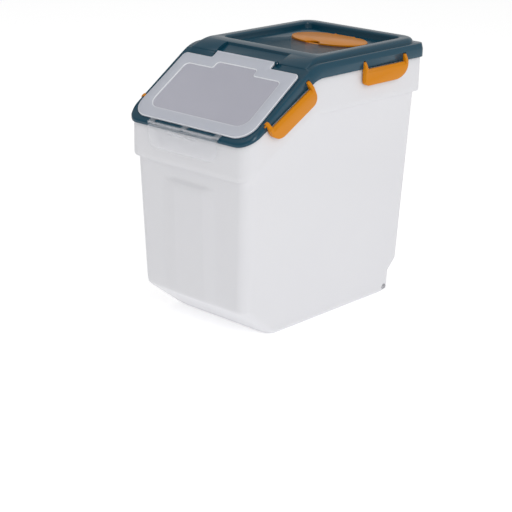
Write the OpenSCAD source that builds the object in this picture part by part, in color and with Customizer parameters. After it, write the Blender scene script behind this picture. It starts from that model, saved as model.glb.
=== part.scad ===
// Rice bin with a flip lid, side latches, a desiccant box and rear wheels.
// The bin stands on z = 0 with its pouring slope towards -Y.

/* [Overall] */
// Width of the lid's rim
rim_w = 234; // [220:1:250]
// Depth of the lid's rim, front to rear
rim_d = 370; // [350:1:400]
// Height of the rim's lower edge at the front
rim_front_h = 283; // [270:1:295]
// Height of the rim's lower edge along the flat rear part
rim_rear_h = 356; // [350:1:370]
// Slope of the rim's lower edge, in degrees
rim_angle = 28.5; // [24:0.5:32]
// Bend radius between slope and flat, at the rim's lower edge
rim_bend_r = 45; // [20:5:60]
// Radius of the rim's front corners, seen from above
rim_front_r = 24; // [18:1:30]
// Radius of the rim's rear corners, seen from above
rim_rear_r = 12; // [10:1:16]

/* [Bin] */
// Wall thickness of the bin
bin_wall = 2.6; // [2:0.2:3.2]
// How far the lid's rim stands out past the collar
rim_proud = 3.6; // [3.2:0.1:4.4]
// Step between the collar and the tub below it
collar_step = 4; // [3:0.5:5]
// Height of the collar below the lid's rim
collar_h = 50; // [40:1:60]
// Taper of the tub's walls, sideways per unit of height
side_draft = 0.045; // [0.02:0.005:0.06]
// Taper of the front and rear walls
end_draft = 0.03; // [0.01:0.005:0.05]
// Height of the sloping cut at the front of the base
chamfer_h = 48; // [30:1:60]
// Depth of the sloping cut at the front of the base
chamfer_d = 62; // [40:1:80]
// Radius of the tub's vertical corners
tub_r = 15; // [8:1:20]
// Height and inset of the soft edge round the base
base_edge = 7; // [4:1:10]
// Height of the raised front panel's upper edge
panel_top_h = 217; // [190:1:225]
// Half width of the raised front panel's flat
panel_half_w = 26; // [20:1:40]
// Width of the slanted flank on each side of it
panel_flank = 25; // [15:1:30]
// How far the front panel stands out
panel_raise = 3; // [1:0.2:3.6]

/* [Wheels] */
// Diameter of a wheel
wheel_dia = 19.6; // [16:0.2:19.8]
// Width of a wheel
wheel_w = 12; // [8:1:16]
// Diameter of the steel axle
axle_dia = 5; // [4:0.5:6]
// Height of the axle above the floor
axle_h = 10.2; // [10:0.1:12]
// Distance of the axle behind the rim's front edge
axle_back = 323; // [315:1:328]
// Distance of the wheel recess behind the rim's front edge
recess_back = 306; // [300:1:308]
// Height of the wheel recess
recess_h = 34; // [26:1:40]
// Half width of the wheel recess
recess_half_w = 83; // [76:1:85]
// Diameter of the counterbore round each axle end
cap_bore_dia = 9.6; // [8:0.2:11]
// Depth of that counterbore
cap_bore_depth = 3; // [2:0.5:4]

/* [Main lid] */
// Wall thickness of the main lid
lid_wall = 2.4; // [2:0.1:2.6]
// Rise of the ridge's top above the rim's lower edge at the rear
ridge_rise = 26; // [24:0.5:30]
// Fall from the ridge's top to the shelf round it
shelf_fall = 7; // [5:0.5:7.5]
// Distance of the ridge's foot in from the rim's sides
ridge_in = 9.5; // [8:0.5:12]
// Radius of the ridge's outer edge
ridge_r = 7.5; // [6:0.5:9]
// Radius of the ridge's rear corners, seen from above
ridge_corner = 26; // [16:1:32]
// Bend radius between slope and ridge on top
top_bend_r = 60; // [40:5:80]
// Half width of the sunken deck
deck_half_w = 88; // [80:1:90]
// Distance of the deck's front wall behind the rim's front
deck_start = 164; // [160:1:170]
// Distance of the deck's rear wall in from the rim's rear
deck_rear_in = 23; // [20:1:30]
// Radius of the deck's corners
deck_r = 10; // [6:1:16]
// Radius of the ridge's inner edge
deck_edge_r = 4; // [2:0.5:4.5]
// Fall from the ridge's top to the deck's front end
deck_front_fall = 9; // [8:0.2:10]
// Fall from the ridge's top to the deck's rear end
deck_rear_fall = 10.4; // [9:0.2:11]
// How far the bin's wall reaches up inside the rim
wall_overlap = 2; // [1.6:0.1:2.4]
// Thickness of the silicone seal under the rim
seal_t = 1.2; // [1:0.1:1.5]
// Height of the rim's upright band at the front
band_front_h = 3.2; // [2:0.2:3.4]
// Height of that band along the flat rear part
band_h = 11.5; // [9:0.5:13]
// Slope of the band's upper edge, in degrees
band_angle = 30.3; // [28:0.1:32]
// How far the slanted face above the band is drawn in
shoulder_in = 2; // [1:0.5:3]
// Clearance between pieces that fit in each other
fit_gap = 0.4; // [0.3:0.05:0.6]

/* [Flip lid] */
// Slope of the flip lid, in degrees
flip_angle = 34.2; // [32:0.2:36]
// Rise of the flip lid's plane above the rim's lower edge at the front
flip_rise = 8.5; // [8:0.5:11]
// Thickness of the flip lid
flip_t = 3; // [2.6:0.1:3.2]
// Half width of the flip lid
flip_half_w = 109; // [100:1:110]
// Distance of its front edge up the slope
flip_front = 5.4; // [5:0.2:8]
// Distance of its shoulders up the slope
flip_shoulder = 130; // [125:1:132]
// Distance of its hinge line up the slope
flip_hinge = 142.5; // [140:0.5:145]
// Half width of the tab that carries the hinge
tab_half_w = 54; // [46:1:58]
// Width of the frosted border round the window
border_w = 19; // [15:1:21]
// Diameter of the flip lid's hinge pins
hinge_pin_dia = 2.4; // [2:0.1:2.6]
// Radial running clearance of the plastic hinge pins
pin_gap = 0.06; // [0.03:0.01:0.09]
// Half width of the hinge pocket
pocket_half_w = 60; // [59:1:66]
// Distance of the hinge pocket's rear wall behind the rim's front
pocket_back = 143.5; // [142:0.5:146]
// Fall from the ridge's top to the rear end of the pocket's floor
pocket_fall = 5; // [4.4:0.2:5.6]
// Slope of the hinge pocket's floor, in degrees
pocket_angle = 21.9; // [20:0.1:24]
// Depth of the shallow seat round the flip lid
seat_sink = 0.5; // [0.3:0.1:0.8]
// Gap between the flip lid's sides and the seat's edge
seat_gap = 3; // [1:0.5:3.5]
// Distance of the seat's rear edge behind the flip lid's hinge
seat_rear = 1; // [0.5:0.5:4]

/* [Front latch] */
// Half width of the front latch at its top
front_latch_half_w = 66; // [58:1:70]
// Half width of the straight part of its lower edge
front_latch_foot = 47; // [40:1:50]
// Radius of its lower corners
front_latch_r = 14; // [8:1:16]
// Drop of the front latch below its hinge
front_latch_drop = 33.5; // [30:0.5:38]
// How far the front latch stands out past the rim
latch_proud = 4.5; // [4.2:0.1:5]
// Thickness of the front latch
front_latch_t = 2.2; // [1.8:0.1:2.2]
// Width of the flip lid's three front knuckles
knuckle_w = 8; // [6:0.5:12]
// Diameter of the rod that the front latch turns on
rod_dia = 2; // [1.8:0.1:2.2]
// Distance of that rod below the flip lid's front line
rod_drop = 2; // [1.8:0.1:2.4]
// Length of the ridge that snaps under the rim
front_bump_len = 48; // [30:1:80]

/* [Side latches] */
// Length of a side latch
latch_len = 94; // [90:1:104]
// Width of a side latch's ears
ear_w = 5; // [4:0.5:8]
// Radius of a side latch's ears
ear_r = 3.4; // [3:0.1:3.6]
// Height of the latch pivot above the rim's lower edge
latch_pivot_h = 6.2; // [6:0.1:6.6]
// Drop of a side latch below the rim's lower edge
latch_drop = 23; // [20:0.5:26]
// Wall thickness of a side latch
side_latch_t = 2.4; // [2:0.1:2.6]
// How far a side latch stands out past the rim
side_latch_proud = 5.2; // [5:0.1:5.6]
// Length of the front lower corner of the latches on the slope
slope_corner_front = 20; // [14:1:26]
// Length of their rear lower corner
slope_corner_rear = 12; // [8:1:20]
// Length of the front lower corner of the latches on the flat part
flat_corner_front = 7; // [5:1:20]
// Length of their rear lower corner
flat_corner_rear = 28; // [20:1:30]
// Height of the slanted face along a side latch's top
latch_bevel = 5.5; // [4:0.5:6]
// Distance of the catch ledge below the rim's lower edge
catch_drop = 13.6; // [12:0.2:15]
// Thickness of that ledge
catch_t = 2.4; // [2:0.1:2.6]
// How far the ledge stands out of the collar
catch_reach = 2; // [1.6:0.1:2.2]
// Length of the ledge
catch_len = 56; // [40:1:60]
// Diameter of the side latch pivots
latch_pin_dia = 2.4; // [2:0.1:2.6]
// Distance of those pivots in from the rim's side
latch_pivot_in = 1.6; // [1.2:0.1:1.8]
// Length of the side latch pivots
latch_pin_len = 3; // [2.5:0.5:4]
// Distance of the sloping latches' middle behind the rim's front
slope_latch_back = 79; // [74:1:82]
// Distance of the flat latches' middle behind the rim's front
flat_latch_back = 275.5; // [260:0.5:280]

/* [Desiccant box] */
// Length of the box's cover, left to right
box_len = 128; // [110:1:130]
// Width of the box's cover, front to rear
box_w = 78; // [74:1:84]
// Distance of the box's middle behind the rim's front
box_back = 293; // [284:1:296]
// Depth of the cup below its flange
box_depth = 26; // [20:1:34]
// Wall thickness of the cup
box_wall = 1.6; // [1.2:0.1:2]
// Thickness of the cover
cover_t = 2; // [1.8:0.1:2.4]
// Width of the flange that rests in the deck's well
box_flange = 6.5; // [5:0.5:8]
// Thickness of that flange
flange_t = 1.4; // [1.2:0.1:1.6]
// Depth of the flange's seat below the deck's rear end
box_sink = 1.2; // [0.8:0.1:1.6]
// Distance of the cover's hinge in from the box's rear edge
cover_hinge_in = 4; // [3.6:0.1:5]
// Diameter of the cover's hinge pins
cover_pin_dia = 1.4; // [1.2:0.1:1.5]
// Radius of the thumb notch in the cover's front edge
thumb_r = 12; // [8:1:14]

/* [Hidden] */
front_y = -(rim_d + latch_proud) / 2 + latch_proud;
rear_y = front_y + rim_d;
half_w = rim_w / 2;
far = 800;
eps = 0.02;
hull_fn = 40;
bend_steps = 9;
collar_half_w = half_w - rim_proud;
tub_half_w = collar_half_w - collar_step;
collar_front_h = rim_front_h - collar_h;
collar_rear_h = rim_rear_h - collar_h;
tub_front_y = front_y + rim_proud + collar_step;
tub_rear_y = rear_y - rim_proud - collar_step;
wall_top = wall_overlap + seal_t;
air = 0.3;
seat_n = -flip_t - air;
top_n = seat_n + seat_sink;
flip_h = rim_front_h + flip_rise;
ridge_h = rim_rear_h + ridge_rise;
shelf_h = ridge_h - shelf_fall;
deck_end = rim_d - deck_rear_in;
axle_y = front_y + axle_back;
recess_y = front_y + recess_back;
ear_x = tub_half_at(axle_h);
box_y = front_y + box_back;
latch_x = half_w + side_latch_proud;
pivot_x = half_w - latch_pivot_in;
latch_dent = 0.8;
catch_tip_x = collar_half_w + catch_reach;
dish_x = catch_tip_x + air;
rod_y = front_y - latch_proud + 2;
rod_h = flip_h - rod_drop;
window_step = 1;
lug_r = 2.6;
flip_pin_len = 3;
flip_seal_h = 4;
flip_seal_w = 3.6;
cover_lug_w = 3;
knuckle_x = [knuckle_w / 2 - front_latch_half_w, 0, front_latch_half_w - knuckle_w / 2];
ledge_t = 2.2;
seal_w = 4.4;
opening_in = border_w - 7;
seat_h = deck_at(box_back + box_w / 2) - box_sink;
cover_h = seat_h + flange_t + air;
cover_axis_y = box_y + box_w / 2 - cover_hinge_in;
cover_half_hinge = 16;

// Points of a rim line in the Y-Z plane: a slope, a bend and a flat
function bend_line(h0, h1, angle, r, y0 = front_y) =
    let (yb = y0 + (h1 - h0) / tan(angle), t = r * tan(angle / 2))
    concat([[y0 - 40, h0 - 40 * tan(angle)]],
        [for (a = [0 : bend_steps]) let (q = 90 + angle * (1 - a / bend_steps)) [yb + t + r * cos(q), h1 - r + r * sin(q)]],
        [[rear_y + 40, h1]]);
function rim_line(up = 0) = bend_line(rim_front_h + up, rim_rear_h + up, rim_angle, rim_bend_r);
function band_line(up) = bend_line(rim_front_h + band_front_h + up, rim_rear_h + band_h + up, band_angle, rim_bend_r);
function top_line(n, h) = bend_line(flip_h + n / cos(flip_angle), h, flip_angle, top_bend_r);
// Half width, front and rear of the tub's outside at a height
function tub_half_at(z) = tub_half_w - (collar_rear_h - z) * side_draft;
function tub_front_at(z) = tub_front_y + (collar_rear_h - z) * end_draft;
function tub_rear_at(z) = tub_rear_y - (collar_rear_h - z) * end_draft;
// Height of the sunken deck at a distance behind the rim's front
function deck_at(d) = ridge_h - deck_front_fall
    - (deck_rear_fall - deck_front_fall) * (d - deck_start) / (deck_end - deck_start);
// Height of the lid's slope, and of the hinge pocket's floor, at that distance
function slope_at(d) = flip_h + seat_n / cos(flip_angle) + d * tan(flip_angle);
function pocket_at(d) = ridge_h - pocket_fall - (pocket_back - d) * tan(pocket_angle);
// Distance at which the pocket's floor runs out into the slope
function pocket_front() = (pocket_at(0) - slope_at(0)) / (tan(flip_angle) - tan(pocket_angle));
// Height that a latch ear's back reaches above its pivot, at the rim's side, when it is swung out
function ear_swing() =
    let (run = latch_pivot_h, rise = latch_x - pivot_x, q = atan2(rise, run) - asin(ear_r / norm([run, rise])))
    rise - (run - latch_pivot_in) * tan(q);

module across(w) { rotate([90, 0, 90]) linear_extrude(w, center = true) children(); }
module above(line) { across(far) polygon(concat(line, [[rear_y + 40, far], [front_y - 40, far]])); }
module below(line) { across(far) polygon(concat(line, [[rear_y + 40, -far], [front_y - 40, -far]])); }
// Rounded outline with its own front and rear corner radii
module outline(hw, y0, y1, rf, rr) {
    for (s = [-1, 1]) {
        translate([s * (hw - rf), y0 + rf]) circle(rf, $fn = hull_fn);
        translate([s * (hw - rr), y1 - rr]) circle(rr, $fn = hull_fn);
    }
    polygon([[rf - hw, y0], [hw - rf, y0], [hw, y0 + rf], [hw, y1 - rr],
        [hw - rr, y1], [rr - hw, y1], [-hw, y1 - rr], [-hw, y0 + rf]]);
}
// The rim's outline, drawn in by a distance
module rim_outline(inset) {
    outline(half_w - inset, front_y + inset, rear_y - inset,
        max(2, rim_front_r - inset), max(2, rim_rear_r - inset));
}
module level(z) { translate([0, 0, z]) linear_extrude(eps) children(); }
// The flip lid's frame: Y runs up the slope, and z = 0 is the flip lid's top
module slope_frame() { translate([0, front_y, flip_h]) rotate([flip_angle, 0, 0]) children(); }
module tub_level(z, inset, back = 0, side = 0) {
    level(z) outline(tub_half_at(z) - inset - side, tub_front_at(z) + inset + back,
        tub_rear_at(z) - inset - side, tub_r - inset, tub_r - inset);
}
// Tapered tub from its floor up to the collar
module tub(inset, floor_z) {
    run = chamfer_d / chamfer_h;
    hull() {
        tub_level(floor_z, inset, (chamfer_h - floor_z) * run, base_edge - floor_z / 2);
        tub_level(floor_z + base_edge, inset, (chamfer_h - floor_z - base_edge) * run);
        tub_level(chamfer_h + inset / 2, inset);
        tub_level(collar_rear_h + 60, inset);
    }
}
module collar(inset) { linear_extrude(far) rim_outline(rim_proud + inset); }
module collar_line_above() { above(bend_line(collar_front_h, collar_rear_h, rim_angle, rim_bend_r)); }
module recess(grow) {
    translate([0, recess_y - grow, -eps]) {
        translate([-recess_half_w - grow, 0, 0]) cube([2 * (recess_half_w + grow), rim_d / 3, recess_h + grow]);
    }
}
// Cut that sets the rear of the base forward, under a slanted ceiling
module rear_step(grow) {
    step_y = axle_y + 16 - grow;
    across(far) polygon([[step_y, -1], [step_y, recess_h + grow], [step_y + 15, recess_h + 16 + grow],
        [rear_y + 20, recess_h + 16 + grow], [rear_y + 20, -1]]);
}
// Raised panel on the front, drawn in by a wall for the hollow behind it
module front_panel(inset) {
    w = panel_half_w - inset;
    run = chamfer_d / chamfer_h;
    intersection() {
        translate([0, tub_front_at(0) + inset, 0]) rotate([atan(end_draft), 0, 0]) linear_extrude(panel_top_h - inset) {
            polygon([[-w - panel_flank, 0], [-w, -panel_raise], [w, -panel_raise], [w + panel_flank, 0],
                [w + panel_flank - inset, 4], [inset - w - panel_flank, 4]]);
        }
        across(2 * tub_half_w) polygon([[tub_front_at(chamfer_h) + 8 + inset, chamfer_h - 8 / run + inset],
            [tub_front_at(chamfer_h) - 8, chamfer_h + 8 / run + inset], [tub_front_at(panel_top_h) - 8, panel_top_h - 8 - inset],
            [tub_front_at(panel_top_h) + 8, panel_top_h + 8 - inset]]);
    }
}
module bin_body() {
    color("whitesmoke") difference() {
        union() {
            difference() { tub(0, 0); above(rim_line(-collar_h + 4)); }
            front_panel(0);
            intersection() { collar(0); collar_line_above(); below(rim_line(wall_overlap)); }
            for (s = [-1, 1]) {
                side_catch(s, true);
                side_catch(s, false);
            }
        }
        difference() {
            union() {
                tub(bin_wall, bin_wall);
                front_panel(bin_wall);
            }
            recess(bin_wall);
            rear_step(bin_wall);
        }
        intersection() {
            collar(bin_wall);
            above(bend_line(collar_front_h + bin_wall, collar_rear_h + bin_wall, rim_angle, rim_bend_r));
        }
        recess(0);
        rear_step(0);
        translate([0, axle_y, axle_h]) rotate([0, 90, 0]) cylinder(d = axle_dia, h = far, center = true);
        for (s = [-1, 1]) {
            translate([s * (ear_x - cap_bore_depth), axle_y, axle_h]) {
                rotate([0, s * 90, 0]) cylinder(d = cap_bore_dia, h = 40);
            }
        }
    }
}
// Places children on a latch's line: x out, y along the rim and z up from its lower edge
module latch_frame(side, on_slope) {
    back = on_slope ? slope_latch_back : flat_latch_back;
    h = on_slope ? rim_front_h + back * tan(rim_angle) : rim_rear_h;
    translate([0, front_y + back, h]) rotate([on_slope ? rim_angle : 0, 0, 0]) {
        mirror([side < 0 ? 1 : 0, 0, 0]) children();
    }
}
// Ledge on the collar that a side latch snaps under
module side_catch(side, on_slope) {
    latch_frame(side, on_slope) translate([collar_half_w - 1, -catch_len / 2, -catch_drop - catch_t]) {
        cube([catch_reach + 1, catch_len, catch_t]);
    }
}
// Curved lower corner of a side latch, drawn in by a wall
function latch_arc(len, inset) =
    let (high = min(len, latch_drop * 0.8), s0 = latch_len / 2 - len, z0 = high - latch_drop)
    [for (q = [0 : 9 : 90]) [s0 + (len - inset) * cos(q), z0 - (high - inset) * sin(q)]];
// Face of a side latch, drawn in by a wall
module latch_face(inset, on_slope) {
    front = latch_arc(on_slope ? slope_corner_front : flat_corner_front, inset);
    rear = latch_arc(on_slope ? slope_corner_rear : flat_corner_rear, inset);
    end = latch_len / 2 - inset;
    top = inset > 0 ? 10 : -0.6;
    polygon(concat([[-end, top], [end, top]], rear,
        [for (i = [len(front) - 1 : -1 : 0]) [-front[i][0], front[i][1]]]));
}
module side_latch(side, on_slope) {
    plate_x = latch_x - side_latch_t;
    lip_x = half_w + 0.6;
    color("orange") latch_frame(side, on_slope) {
        difference() {
            union() {
                translate([dish_x, 0, 0]) rotate([90, 0, 90]) difference() {
                    linear_extrude(latch_x - dish_x) latch_face(0, on_slope);
                    translate([0, 0, -1]) linear_extrude(plate_x - dish_x + 1) latch_face(side_latch_t, on_slope);
                }
                translate([lip_x, -latch_len / 2 + 1, -0.6 - latch_bevel]) cube([2, latch_len - 2, latch_bevel]);
                translate([lip_x + 1, -latch_len / 2 + 1, -latch_bevel]) cube([plate_x - lip_x, latch_len - 2, 2]);
                for (s = [-1, 1]) latch_ear(s);
                translate([dish_x, 2 - catch_len / 2, -catch_drop - catch_t - 1 - 3]) cube([plate_x - dish_x + 1, catch_len - 4, 3]);
            }
            rotate([90, 0, 0]) linear_extrude(latch_len - 2 * ear_w, center = true) {
                polygon([[latch_x + 1, -latch_bevel], [latch_x, -latch_bevel], [lip_x + 2, 0], [latch_x + 1, 0]]);
            }
        }
        for (s = [-1, 1]) {
            translate([pivot_x, s * (latch_len / 2 - eps), latch_pivot_h]) {
                rotate([-s * 90, 0, 0]) cylinder(d = latch_pin_dia, h = latch_pin_len);
            }
        }
    }
}
module latch_ear(s) {
    translate([0, s > 0 ? latch_len / 2 : ear_w - latch_len / 2, 0]) rotate([90, 0, 0]) linear_extrude(ear_w) hull() {
        translate([pivot_x, latch_pivot_h]) circle(ear_r, $fn = hull_fn);
        translate([latch_x - side_latch_t, -latch_bevel]) square([side_latch_t, latch_bevel]);
    }
}
// Space in the rim for a latch's ears, and the blocks that hold its pivots
module latch_block(side, on_slope) {
    len = latch_len + 2 * latch_pin_len + 6;
    latch_frame(side, on_slope) translate([half_w - 11, -len / 2, wall_top + air]) {
        cube([12, len, latch_pivot_h + ear_swing() + lid_wall - wall_top]);
    }
}
module latch_space(side, on_slope) {
    top = latch_pivot_h + ear_swing() + fit_gap;
    latch_frame(side, on_slope) {
        for (s = [-1, 1]) {
            translate([pivot_x - ear_r - fit_gap, s * (latch_len / 2 - ear_w / 2) - ear_w / 2 - fit_gap, -5]) {
                cube([30, ear_w + 2 * fit_gap, top + 5]);
            }
            translate([pivot_x, s * (latch_len / 2 - 1), latch_pivot_h]) {
                rotate([-s * 90, 0, 0]) cylinder(d = latch_pin_dia + 2 * pin_gap, h = latch_pin_len + 2);
            }
        }
        translate([half_w - latch_dent, -latch_len / 2, -5]) cube([30, latch_len, top + 5]);
    }
}
// Cuts an extruded outline off along a line, for the lid's solid
module capped(line) {
    intersection() {
        linear_extrude(far) children();
        above([[front_y - 40, rim_front_h - 40], [rear_y + 40, rim_front_h - 40]]);
        below(line);
    }
}
// Solid under the lid's top surface, drawn in by a wall: the rim with its shelf, and the ridge on it.
// The resize changes no size: it has the two hulls, whose faces coincide on the slope, joined as one mesh.
module lid_mass(inset) {
    r = ridge_r - inset;
    resize([0, 0, 0]) {
        hull() {
            capped(band_line(-inset)) rim_outline(inset);
            capped(top_line(top_n - inset, shelf_h - inset)) rim_outline(inset + shoulder_in);
        }
        hull() for (a = [0 : 15 : 90]) {
            i = inset + r * (1 - cos(a));
            capped(top_line(top_n - inset, ridge_h - inset - r * (1 - sin(a)))) {
                outline(half_w - ridge_in - i, front_y + shoulder_in + inset, rear_y - shoulder_in - i,
                    rim_front_r, ridge_corner - i);
            }
        }
    }
}
module tee(hw, s0, s1, r, tab_hw, s2) {
    outline(hw, s0, s1, r, 7);
    translate([-tab_hw, s0 + r]) square([2 * tab_hw, s2 - s0 - r]);
}
// Outline of the flip lid, drawn in by a distance
module flip_outline(inset) {
    tee(flip_half_w - inset, flip_front + inset, flip_shoulder - inset, 26 - inset / 2,
        tab_half_w - inset * 0.9, flip_hinge - inset);
}
// Space of the hinge pocket, and the floor and walls round it
module pocket_cut() {
    d0 = pocket_front();
    across(2 * pocket_half_w) polygon([[front_y + d0, pocket_at(d0)], [front_y + pocket_back, pocket_at(pocket_back)],
        [front_y + pocket_back, far], [front_y + d0, far]]);
}
module pocket_tray() {
    d0 = pocket_front();
    d1 = pocket_back + lid_wall;
    across(2 * (pocket_half_w + lid_wall)) polygon([[front_y + d0, pocket_at(d0) - lid_wall - 1],
        [front_y + d1, pocket_at(pocket_back) - lid_wall], [front_y + d1, far], [front_y + d0, far]]);
}
// Shallow seat in the slope, round the flip lid
module seat_cut() {
    slope_frame() translate([0, 0, seat_n]) linear_extrude(seat_sink + air) {
        outline(flip_half_w + seat_gap, -rim_front_r, flip_hinge + seat_rear, 5, 8);
    }
}
module oval(len, w) { scale([len / w, 1]) circle(d = w, $fn = 96); }
module main_lid() {
    color("darkslategray") difference() {
        union() {
            difference() {
                lid_mass(0);
                lid_hollow();
            }
            for (s = [-1, 1]) hinge_lug(s);
        }
        below(rim_line());
        intersection() {
            linear_extrude(far) rim_outline(lid_wall);
            below(rim_line(wall_top));
        }
        deck_cut();
        difference() {
            union() {
                pocket_cut();
                seat_cut();
            }
            for (s = [-1, 1]) hinge_lug(s);
        }
        translate([0, box_y, seat_h]) linear_extrude(far) oval(box_len + 2 * fit_gap, box_w + 2 * fit_gap);
        slope_frame() translate([0, 0, -60]) linear_extrude(100) flip_outline(opening_in);
        slope_frame() translate([0, flip_hinge, -flip_t / 2]) rotate([0, 90, 0]) {
            cylinder(d = hinge_pin_dia + 2 * pin_gap, h = 2 * (tab_half_w + 6), center = true);
        }
        translate([0, box_y, rim_front_h]) linear_extrude(far) {
            oval(box_len - 2 * box_flange + 2 * fit_gap, box_w - 2 * box_flange + 2 * fit_gap);
        }
        for (s = [-1, 1]) {
            latch_space(s, true);
            latch_space(s, false);
        }
    }
}
// Hollow inside the lid, with the seal's ledge, the latch blocks and the trays left standing in it
module lid_hollow() {
    difference() {
        lid_mass(lid_wall);
        difference() {
            linear_extrude(far) rim_outline(1);
            linear_extrude(far, center = true) rim_outline(lid_wall + 7);
            below(rim_line(wall_top));
            above(rim_line(wall_top + ledge_t));
        }
        for (s = [-1, 1]) {
            latch_block(s, true);
            latch_block(s, false);
        }
        pocket_tray();
        deck_tray();
        translate([0, box_y, seat_h - lid_wall]) linear_extrude(far) {
            oval(box_len + 2 * (fit_gap + lid_wall), box_w + 2 * (fit_gap + lid_wall));
        }
    }
}
module hinge_lug(s) {
    slope_frame() translate([s * (tab_half_w + fit_gap), flip_hinge, -flip_t / 2]) rotate([0, s * 90, 0]) {
        cylinder(r = lug_r, h = flip_pin_len);
        rotate([0, 0, s > 0 ? 0 : 180]) translate([0, -lug_r, 0]) cube([lug_r + 3, 2 * lug_r, flip_pin_len]);
    }
}
// The sunken deck inside the ridge: its outline, its space above with the round inner edge, and its tray
module deck_outline(grow) {
    outline(deck_half_w + grow, front_y + deck_start - grow, front_y + deck_end + grow, deck_r + grow, deck_r + grow);
}
module deck_above(down) { above([[front_y - 40, deck_at(-40) - down], [rear_y + 40, deck_at(rim_d + 40) - down]]); }
module deck_cut() {
    r = deck_edge_r;
    intersection() {
        linear_extrude(far) deck_outline(0);
        deck_above(0);
    }
    for (a = [0 : 30 : 60]) hull() {
        translate([0, 0, ridge_h - r * (1 - sin(a))]) linear_extrude(eps) deck_outline(r * (1 - cos(a)));
        translate([0, 0, ridge_h - r * (1 - sin(a + 30))]) linear_extrude(eps) deck_outline(r * (1 - cos(a + 30)));
    }
}
module deck_tray() {
    intersection() {
        linear_extrude(far) deck_outline(lid_wall);
        deck_above(lid_wall);
    }
}
module main_lid_seal() {
    color("gainsboro") difference() {
        linear_extrude(far) rim_outline(rim_proud + fit_gap);
        translate([0, 0, -1]) linear_extrude(far + 2) rim_outline(rim_proud + seal_w);
        below(rim_line(wall_overlap));
        above(rim_line(wall_top));
    }
}
module flip_lid() {
    color("lightsteelblue") {
        slope_frame() {
            difference() {
                translate([0, 0, -flip_t]) linear_extrude(flip_t) flip_outline(0);
                translate([0, 0, -window_step]) linear_extrude(flip_t) flip_outline(border_w);
            }
            translate([-tab_half_w, flip_hinge, -flip_t / 2]) rotate([0, 90, 0]) {
                cylinder(d = flip_t, h = 2 * tab_half_w);
            }
            translate([-tab_half_w - flip_pin_len, flip_hinge, -flip_t / 2]) rotate([0, 90, 0]) {
                cylinder(d = hinge_pin_dia, h = 2 * (tab_half_w + flip_pin_len));
            }
            for (x = knuckle_x) translate([x - knuckle_w / 2, 0, 0]) front_knuckle();
        }
        translate([-front_latch_half_w + 1, rod_y, rod_h]) rotate([0, 90, 0]) {
            cylinder(d = rod_dia, h = 2 * front_latch_half_w - 2);
        }
    }
}
// Arm from the flip lid's front edge to the front latch's rod, in the slope's frame
module front_knuckle() {
    s = (rod_y - front_y) * cos(flip_angle) - rod_drop * sin(flip_angle);
    n = -rod_drop * cos(flip_angle) - (rod_y - front_y) * sin(flip_angle);
    arm_s = flip_front + 4;
    rotate([90, 0, 90]) linear_extrude(knuckle_w) {
        translate([s, n]) circle(rod_dia / 2 + 0.8, $fn = 48);
        polygon([[s, n - 1.6], [s, n + 1.6], [flip_front, -0.1], [arm_s, -0.1],
            [arm_s, 0.1 - flip_t], [flip_front, 0.1 - flip_t]]);
    }
}
module flip_lid_seal() {
    color("white") slope_frame() difference() {
        translate([0, 0, -flip_t - flip_seal_h]) linear_extrude(flip_seal_h) flip_outline(opening_in + fit_gap);
        translate([0, 0, -flip_t - flip_seal_h - 1]) linear_extrude(flip_seal_h + 2) {
            flip_outline(opening_in + fit_gap + flip_seal_w);
        }
    }
}
module front_latch() {
    y0 = front_y - latch_proud;
    color("lightsteelblue") difference() {
        union() {
            translate([0, y0 + front_latch_t, rod_h]) rotate([90, 0, 0]) linear_extrude(front_latch_t) hull() {
                for (s = [-1, 1]) {
                    translate([s * (front_latch_half_w - 1), 0]) circle(1, $fn = hull_fn);
                    translate([s * front_latch_foot, front_latch_r - front_latch_drop]) {
                        circle(front_latch_r, $fn = hull_fn);
                    }
                }
            }
            translate([-front_latch_half_w, rod_y, rod_h]) rotate([0, 90, 0]) {
                cylinder(r = 2, h = 2 * front_latch_half_w);
            }
            translate([-front_bump_len / 2, y0 + 1, rim_front_h - 4.6]) {
                cube([front_bump_len, latch_proud - 1 - air, 3]);
            }
        }
        for (x = knuckle_x) {
            translate([x - knuckle_w / 2 - air, y0 - 1, rod_h - rod_dia / 2 - 1.4]) cube([knuckle_w + 2 * air, 8, 8]);
        }
        translate([0, rod_y, rod_h]) rotate([0, 90, 0]) cylinder(d = rod_dia + 2 * pin_gap, h = far, center = true);
    }
}
module desiccant_cup() {
    color("darkorange") difference() {
        union() {
            translate([0, box_y, seat_h]) linear_extrude(flange_t) oval(box_len, box_w);
            translate([0, box_y, seat_h - box_depth]) linear_extrude(box_depth + flange_t / 2) {
                oval(box_len - 2 * box_flange, box_w - 2 * box_flange);
            }
            for (s = [-1, 1]) cover_lug(s);
        }
        translate([0, box_y, seat_h - box_depth + box_wall]) linear_extrude(far) {
            oval(box_len - 2 * (box_flange + box_wall), box_w - 2 * (box_flange + box_wall));
        }
        translate([0, cover_axis_y, cover_h + cover_t / 2]) rotate([0, 90, 0]) {
            cylinder(d = cover_pin_dia + 2 * pin_gap, h = 60, center = true);
        }
    }
}
module cover_lug(s) {
    x = s > 0 ? cover_half_hinge : -cover_half_hinge - cover_lug_w;
    translate([x, cover_axis_y, cover_h + cover_t / 2]) rotate([0, 90, 0]) cylinder(r = 1.4, h = cover_lug_w);
    translate([x, cover_axis_y - 1.4, seat_h]) cube([cover_lug_w, 2.8, cover_h - seat_h + cover_t / 2]);
}
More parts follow.
